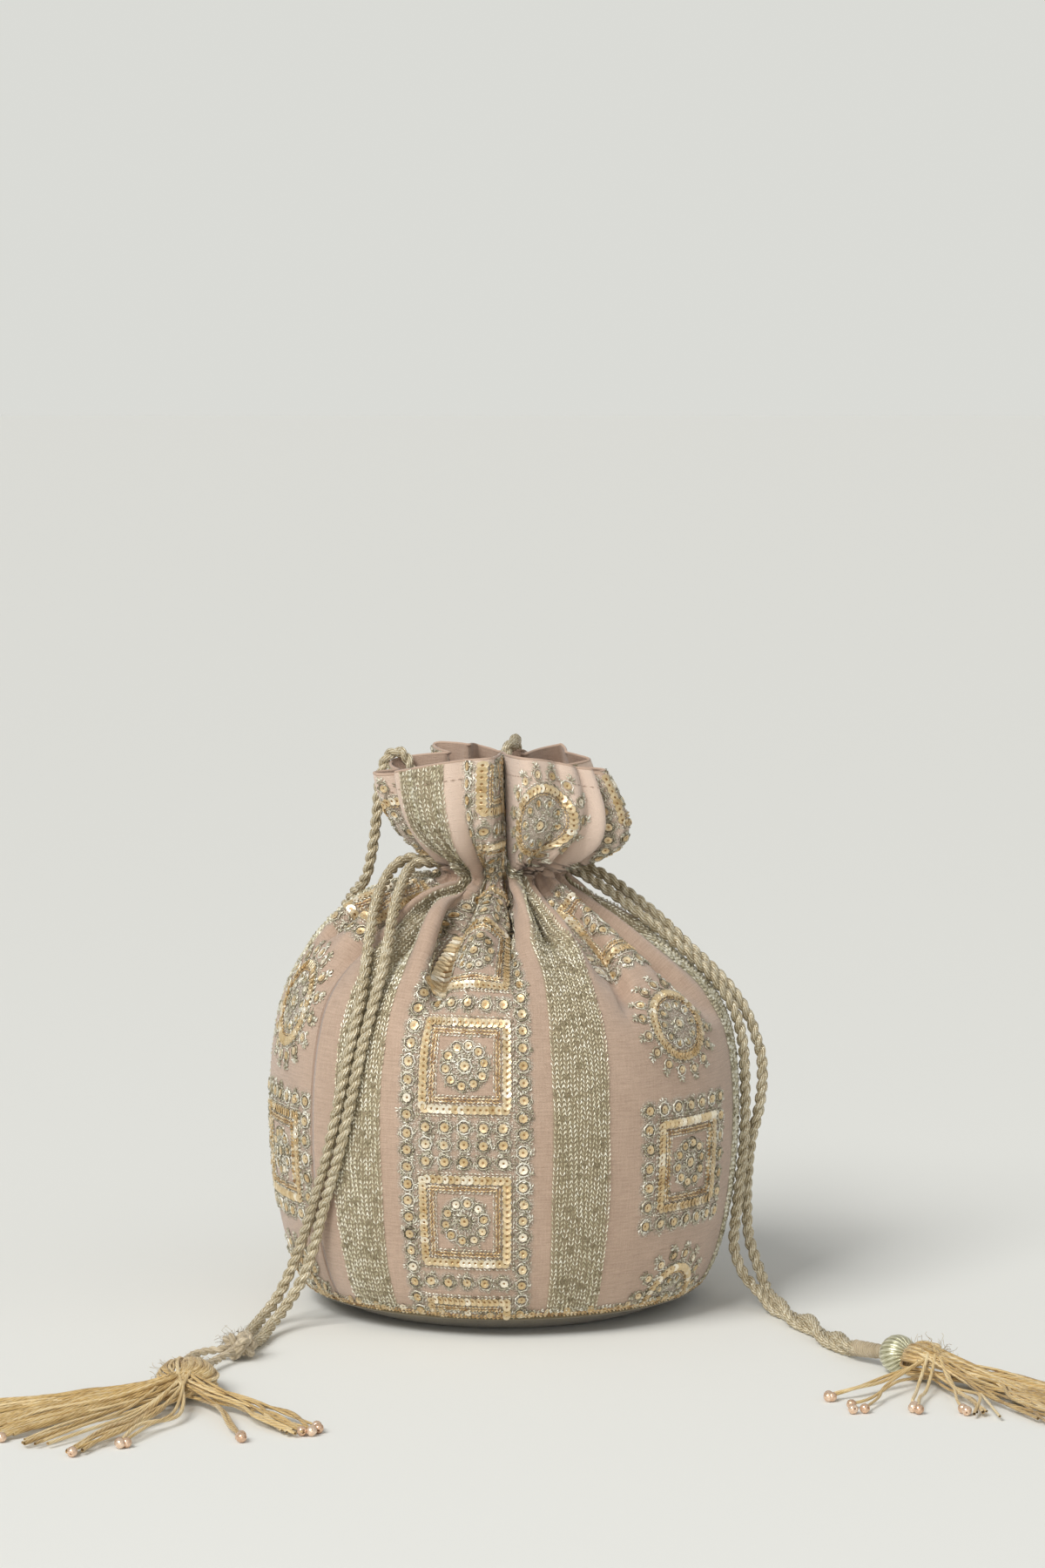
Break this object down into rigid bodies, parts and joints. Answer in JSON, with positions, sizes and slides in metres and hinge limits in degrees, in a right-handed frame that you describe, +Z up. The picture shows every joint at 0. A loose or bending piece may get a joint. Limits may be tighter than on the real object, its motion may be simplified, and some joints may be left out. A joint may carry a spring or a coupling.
{
  "type": "drawstring potli bag",
  "caption": "Round-bottomed gathered cloth pouch with a ruffled mouth, paired drawcords ending in gold tassels and a thin carry loop, dressed with sequin squares and sunbursts",
  "frame": {"origin": "centre of the round base panel, on the surface that the bag stands on", "axes": "+Z up through the gathered neck; +X to the right of someone who faces the front; -Y towards the front, where the deepest fold of the ruffle opens"},
  "size_m": [0.38, 0.3358, 0.2079],
  "materials": {
    "rose_cloth": "matte raw silk with chain stitch and sequins",
    "base_cloth": "matte raw silk",
    "lining_cloth": "soft satin",
    "sage_cord": "twisted metallic thread",
    "zari_ball": "wound metallic thread",
    "gold_thread": "bright metallic thread",
    "rose_gold_bead": "polished"
  },
  "bodies": {
    "root": {"outer_wall": "rose_cloth", "ruffle": "rose_cloth", "base_panel": "base_cloth", "lining": "lining_cloth", "drawcord_left_loop": "sage_cord", "drawcord_right_loop": "sage_cord", "drawcord_left_a": "sage_cord", "drawcord_left_b": "sage_cord", "drawcord_right_a": "sage_cord", "drawcord_right_b": "sage_cord", "carry_loop": "sage_cord", "knot_left": "sage_cord", "link_left": "sage_cord", "tassel_left_head": "gold_thread", "tassel_left_strand_1": "gold_thread", "tassel_left_strand_2": "gold_thread", "tassel_left_strand_3": "gold_thread", "tassel_left_strand_4": "gold_thread", "tassel_left_strand_5": "gold_thread", "tassel_left_strand_6": "gold_thread", "tassel_left_bead_1": "rose_gold_bead", "tassel_left_bead_2": "rose_gold_bead", "tassel_left_bead_3": "rose_gold_bead", "tassel_left_bead_4": "rose_gold_bead", "tassel_left_bead_5": "rose_gold_bead", "tassel_left_bead_6": "rose_gold_bead", "ball_right": "zari_ball", "binding_right": "gold_thread", "tassel_right_head": "gold_thread", "tassel_right_strand_1": "gold_thread", "tassel_right_strand_2": "gold_thread", "tassel_right_strand_3": "gold_thread", "tassel_right_strand_4": "gold_thread", "tassel_right_strand_5": "gold_thread", "tassel_right_strand_6": "gold_thread", "tassel_right_bead_1": "rose_gold_bead", "tassel_right_bead_2": "rose_gold_bead", "tassel_right_bead_3": "rose_gold_bead", "tassel_right_bead_4": "rose_gold_bead", "tassel_right_bead_5": "rose_gold_bead", "tassel_right_bead_6": "rose_gold_bead"}
  },
  "joints": []
}
